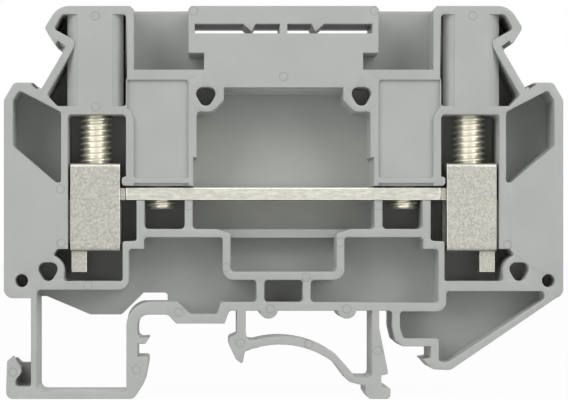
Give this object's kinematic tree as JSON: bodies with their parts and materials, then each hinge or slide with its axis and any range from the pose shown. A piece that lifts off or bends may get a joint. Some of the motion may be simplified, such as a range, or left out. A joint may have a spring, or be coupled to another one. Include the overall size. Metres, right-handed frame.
{
  "type": "rail-mounted terminal block",
  "caption": "Rail-mounted feed-through screw terminal block with one open side, rising-cage clamps, a continuous current bar and a clip-on rail foot.",
  "frame": {"origin": "middle of the 35 mm rail's width, at the seat on its rims, half-way through the thickness", "axes": "+X from the fixed jaw towards the sprung hook, +Y from the open side to the closed rear face, +Z away from the rail"},
  "size_m": [0.0672, 0.01, 0.0472],
  "materials": {
    "grey_polyamide": "moulded, satin",
    "tinned_copper": "tin-plated, stamped",
    "zinc_plated_steel": "satin plated",
    "nickel_plated_steel": "bright plated"
  },
  "bodies": {
    "housing": {"housing": "grey_polyamide", "current_bar": "tinned_copper", "bar_screw_left": "nickel_plated_steel", "bar_screw_right": "nickel_plated_steel"},
    "cage_left": {"clamp_cage_left": "zinc_plated_steel"},
    "screw_left": {"clamp_screw_left": "nickel_plated_steel"},
    "cage_right": {"clamp_cage_right": "zinc_plated_steel"},
    "screw_right": {"clamp_screw_right": "nickel_plated_steel"}
  },
  "joints": [
    {"name": "cage_left_lift", "type": "slide", "parent": "housing", "child": "cage_left", "axis": [0, 0, 1], "range_m": [0, 0.0049]},
    {"name": "screw_left_turn", "type": "hinge", "parent": "housing", "child": "screw_left", "pos_m": [-0.02265, -0.0008, 0], "axis": [0, 0, 1], "range_deg": [-2520, 0]},
    {"name": "cage_right_lift", "type": "slide", "parent": "housing", "child": "cage_right", "axis": [0, 0, 1], "range_m": [0, 0.0049]},
    {"name": "screw_right_turn", "type": "hinge", "parent": "housing", "child": "screw_right", "pos_m": [0.02265, -0.0008, 0], "axis": [0, 0, 1], "range_deg": [-2520, 0]}
  ],
  "couplings": [
    {"joint": "screw_left_turn", "follows": "cage_left_lift", "rad_per_m": -8976},
    {"joint": "screw_right_turn", "follows": "cage_right_lift", "rad_per_m": -8976}
  ]
}
